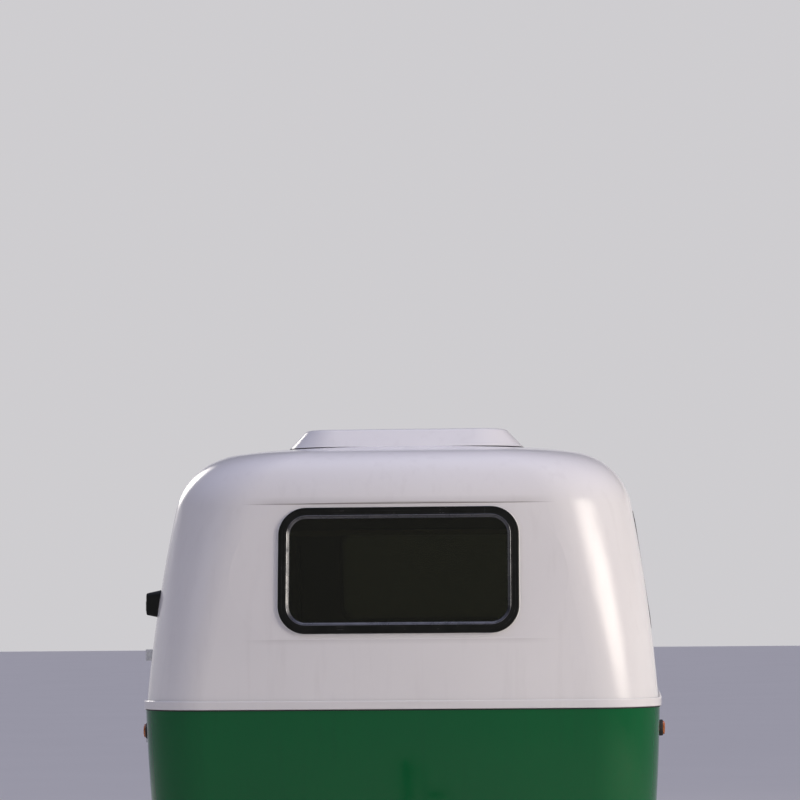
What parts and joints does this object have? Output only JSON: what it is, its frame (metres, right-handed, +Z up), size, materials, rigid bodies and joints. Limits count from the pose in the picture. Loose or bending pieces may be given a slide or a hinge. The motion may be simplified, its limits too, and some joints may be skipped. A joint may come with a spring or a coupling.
{
  "type": "fibreglass camper trailer",
  "caption": "Small two-tone moulded fibreglass camper trailer with a raised roof, framed windows, an entry door, a lifting rear hatch, roof vent, road wheels, ball coupler and nose jack.",
  "frame": {"origin": "on the ground, under the middle of the whole trailer from coupler to rear wall", "axes": "+Z up, drawbar and coupler towards -Y, the traveller's left towards +X"},
  "size_m": [2.0295, 3.9637, 2.276],
  "materials": {
    "green_gelcoat": "glossy deep green gelcoat",
    "white_gelcoat": "glossy white gelcoat",
    "liner": "black moulded liner",
    "window_frame": "satin black",
    "tinted_pane": "dark tinted",
    "plated_steel": "zinc plated",
    "chassis_paint": "satin black paint",
    "vent_plastic": "satin white",
    "red_lens": "red lens",
    "amber_lens": "amber lens",
    "tyre": "black rubber",
    "wheel_paint": "gloss white enamel",
    "chrome": "polished"
  },
  "bodies": {
    "trailer_body": {"lower_shell": "green_gelcoat", "upper_shell": "white_gelcoat", "wheel_wells": "liner", "arch_flares": "green_gelcoat", "front_window_frame": "window_frame", "front_window_glass": "tinted_pane", "left_window_frame": "window_frame", "left_window_glass": "tinted_pane", "right_window_frame": "window_frame", "right_window_glass": "tinted_pane", "door_hinge_brackets": "plated_steel", "hatch_hinge_brackets": "plated_steel", "strut_brackets": "plated_steel", "roof_vent_base": "vent_plastic", "frame_rails": "chassis_paint", "frame_crossmembers": "chassis_paint", "drawbar_tubes": "chassis_paint", "coupler": "plated_steel", "coupler_latch": "plated_steel", "jack_housing": "plated_steel", "jack_crank": "plated_steel", "axle_beam": "chassis_paint", "axle_arms": "chassis_paint", "steady_brackets": "chassis_paint", "tail_lamps": "red_lens", "side_markers": "amber_lens", "power_inlet": "vent_plastic", "porch_lamp": "window_frame"},
    "wheel_left": {"tyre_left": "tyre", "rim_left": "wheel_paint", "hub_cap_left": "chrome"},
    "wheel_right": {"tyre_right": "tyre", "rim_right": "wheel_paint", "hub_cap_right": "chrome"},
    "entry_door": {"door_upper": "white_gelcoat", "door_lower": "green_gelcoat", "door_window_frame": "window_frame", "door_window_glass": "tinted_pane", "door_hinge_straps": "plated_steel", "door_handle": "chrome"},
    "rear_hatch": {"hatch_upper": "white_gelcoat", "hatch_lower": "green_gelcoat", "rear_window_frame": "window_frame", "rear_window_glass": "tinted_pane", "hatch_hinge_straps": "plated_steel", "hatch_strut_brackets": "plated_steel", "hatch_handle": "chrome", "plate_bracket": "window_frame"},
    "strut_cylinders": {"strut_cylinders": "window_frame"},
    "strut_rods": {"strut_rods": "chrome"},
    "roof_vent_lid": {"roof_vent_lid": "vent_plastic"},
    "jack_leg": {"jack_leg": "plated_steel"},
    "steady_left": {"steady_left": "plated_steel"},
    "steady_right": {"steady_right": "plated_steel"}
  },
  "joints": [
    {"name": "wheel_left_spin", "type": "hinge", "parent": "trailer_body", "child": "wheel_left", "pos_m": [0.8535, 0.607, 0.305], "axis": [1, 0, 0], "continuous": true},
    {"name": "wheel_right_spin", "type": "hinge", "parent": "trailer_body", "child": "wheel_right", "pos_m": [-0.8535, 0.607, 0.305], "axis": [1, 0, 0], "continuous": true},
    {"name": "entry_door_swing", "type": "hinge", "parent": "trailer_body", "child": "entry_door", "pos_m": [-1.0135, -0.561, 1], "axis": [0, 0, 1], "range_deg": [0, 100]},
    {"name": "rear_hatch_lift", "type": "hinge", "parent": "trailer_body", "child": "rear_hatch", "pos_m": [0, 1.85217, 1.961], "axis": [1, 0, 0], "range_deg": [0, 85]},
    {"name": "strut_swing", "type": "hinge", "parent": "trailer_body", "child": "strut_cylinders", "pos_m": [0, 1.87217, 1.241], "axis": [1, 0, 0], "range_deg": [-22.77, 0.1]},
    {"name": "strut_extension", "type": "slide", "parent": "strut_cylinders", "child": "strut_rods", "axis": [0, -0.1573, 0.9876], "range_m": [-0.001, 0.11096]},
    {"name": "roof_vent_tilt", "type": "hinge", "parent": "trailer_body", "child": "roof_vent_lid", "pos_m": [0, 1.252, 2.242], "axis": [-1, 0, 0], "range_deg": [0, 70]},
    {"name": "jack_leg_slide", "type": "slide", "parent": "trailer_body", "child": "jack_leg", "axis": [0, 0, 1], "range_m": [0, 0.2]},
    {"name": "steady_left_fold", "type": "hinge", "parent": "trailer_body", "child": "steady_left", "pos_m": [0.6, 1.54, 0.285], "axis": [1, 0, 0], "range_deg": [0, 80]},
    {"name": "steady_right_fold", "type": "hinge", "parent": "trailer_body", "child": "steady_right", "pos_m": [-0.6, 1.54, 0.285], "axis": [1, 0, 0], "range_deg": [0, 80]}
  ],
  "couplings": [
    {"joint": "strut_swing", "follows": "rear_hatch_lift", "ratio": -0.26554},
    {"joint": "strut_extension", "follows": "rear_hatch_lift", "m_per_rad": 0.074122}
  ]
}
